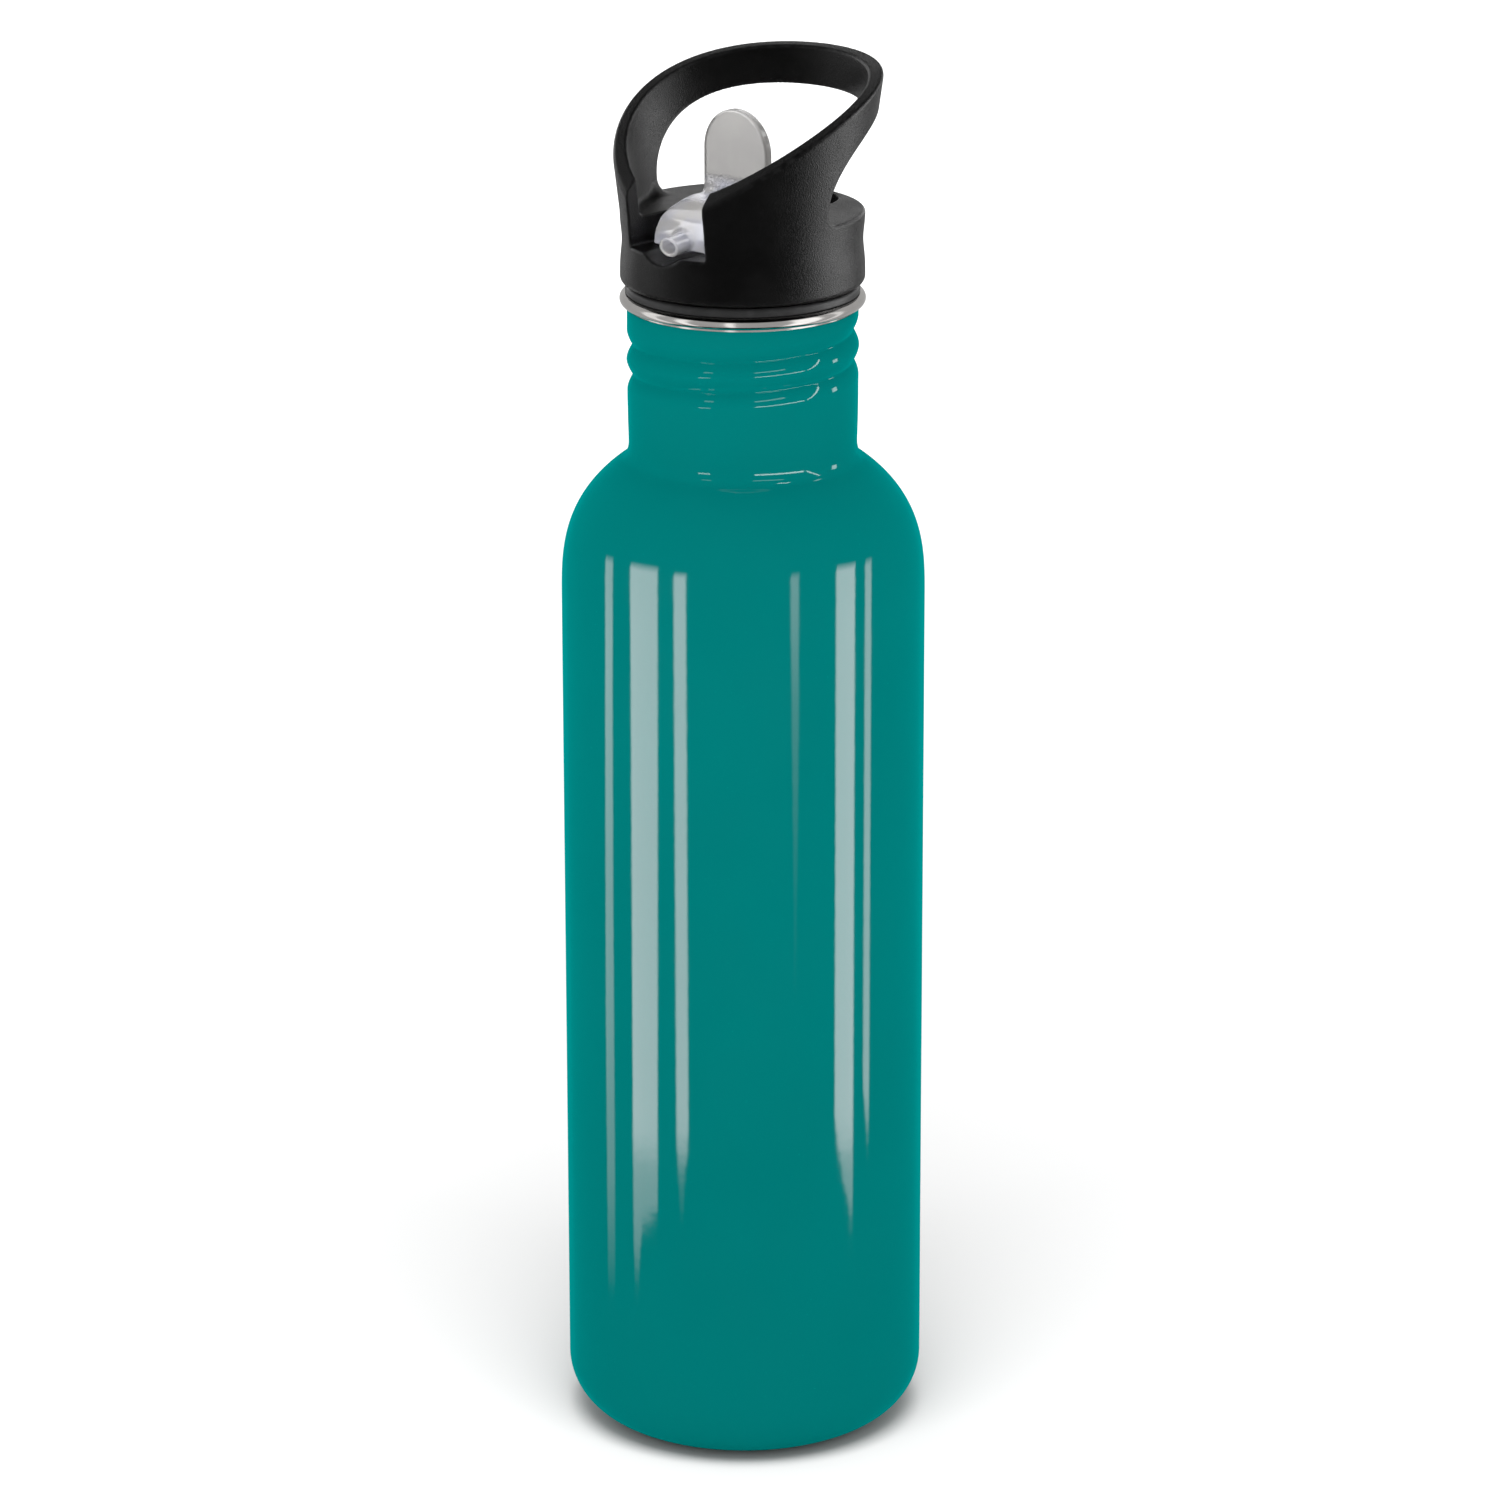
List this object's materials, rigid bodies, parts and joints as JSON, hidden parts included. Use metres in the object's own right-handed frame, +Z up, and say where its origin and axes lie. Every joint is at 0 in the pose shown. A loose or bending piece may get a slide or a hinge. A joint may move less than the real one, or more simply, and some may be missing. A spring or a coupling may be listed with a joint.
{
  "type": "steel sports bottle",
  "caption": "Tall painted steel drinking bottle with a screw lid, a flared carry handle, a clear flip-up spout with a thumb tab, and a straw.",
  "frame": {"origin": "on the bottle's axis, in the plane the bottle stands on", "axes": "+Z up along the bottle's axis; the folded spout's mouth faces -Y; X runs along the spout's pivot"},
  "size_m": [0.073, 0.073, 0.2834],
  "materials": {
    "teal_paint": "glossy powder paint over steel, bare polished lip",
    "steel": "brushed",
    "black_plastic": "satin moulded polypropylene",
    "black_rubber": "smooth moulded silicone",
    "clear_plastic": "clear polished",
    "silicone": "translucent matte silicone"
  },
  "bodies": {
    "bottle": {"bottle_shell": "teal_paint", "base_pan": "steel"},
    "lid_seal": {"neck_gasket": "black_rubber"},
    "lid": {"lid_cap": "black_plastic", "threaded_insert": "black_plastic", "straw": "clear_plastic", "spout_seal": "silicone", "vent_valve": "silicone"},
    "spout": {"spout": "clear_plastic"}
  },
  "joints": [
    {"name": "lid_rise", "type": "slide", "parent": "bottle", "child": "lid_seal", "axis": [0, 0, 1], "range_m": [0, 0.01221]},
    {"name": "lid_turn", "type": "hinge", "parent": "lid_seal", "child": "lid", "pos_m": [0, 0, 0.2401], "axis": [0, 0, 1], "range_deg": [0, 720]},
    {"name": "spout_flip", "type": "hinge", "parent": "lid", "child": "spout", "pos_m": [0, 0, 0.2516], "axis": [-1, 0, 0], "range_deg": [0, 90]}
  ],
  "couplings": [
    {"joint": "lid_rise", "follows": "lid_turn", "m_per_rad": 0.00097085}
  ]
}
